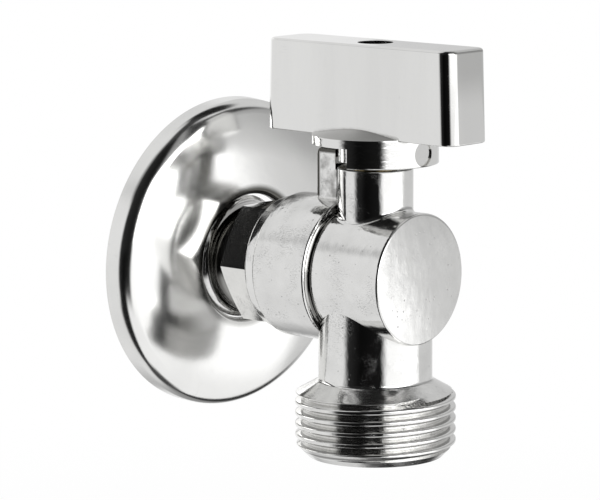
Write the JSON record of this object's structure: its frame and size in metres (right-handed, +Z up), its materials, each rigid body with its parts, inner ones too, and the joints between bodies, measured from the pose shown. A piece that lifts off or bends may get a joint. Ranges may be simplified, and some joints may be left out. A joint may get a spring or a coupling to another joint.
{
  "type": "washing machine valve",
  "caption": "Chrome angle ball valve with a threaded wall inlet, a threaded hose outlet below, a quarter-turn bar lever and a loose wall rosette.",
  "frame": {"origin": "on the inlet axis at the wall face, which the rosette's lowest rim touches", "axes": "+X along the inlet axis out of the wall, +Z up along the stem axis, +Y sideways by the right-hand rule"},
  "size_m": [0.0673, 0.0523, 0.0679],
  "materials": {
    "body_chrome": "satin plated forging",
    "nipple_chrome": "polished plating",
    "rosette_chrome": "mirror plating",
    "handle_chrome": "polished plating",
    "ball_chrome": "mirror plating",
    "stem_brass": "turned",
    "seat_plastic": "moulded",
    "seal_rubber": "moulded",
    "screw_steel": "zinc plated"
  },
  "bodies": {
    "body": {"valve_body": "body_chrome", "inlet_nipple": "nipple_chrome", "nipple_o_ring": "seal_rubber", "wall_rosette": "rosette_chrome", "rear_seat": "seat_plastic", "front_seat": "seat_plastic", "thrust_washer": "seat_plastic"},
    "rotor": {"handle": "handle_chrome", "handle_screw": "screw_steel", "stem": "stem_brass", "lower_stem_o_ring": "seal_rubber", "upper_stem_o_ring": "seal_rubber", "ball": "ball_chrome"}
  },
  "joints": [
    {"name": "handle_turn", "type": "hinge", "parent": "body", "child": "rotor", "pos_m": [0.037, 0, 0], "axis": [0, 0, 1], "range_deg": [-90, 0]}
  ]
}
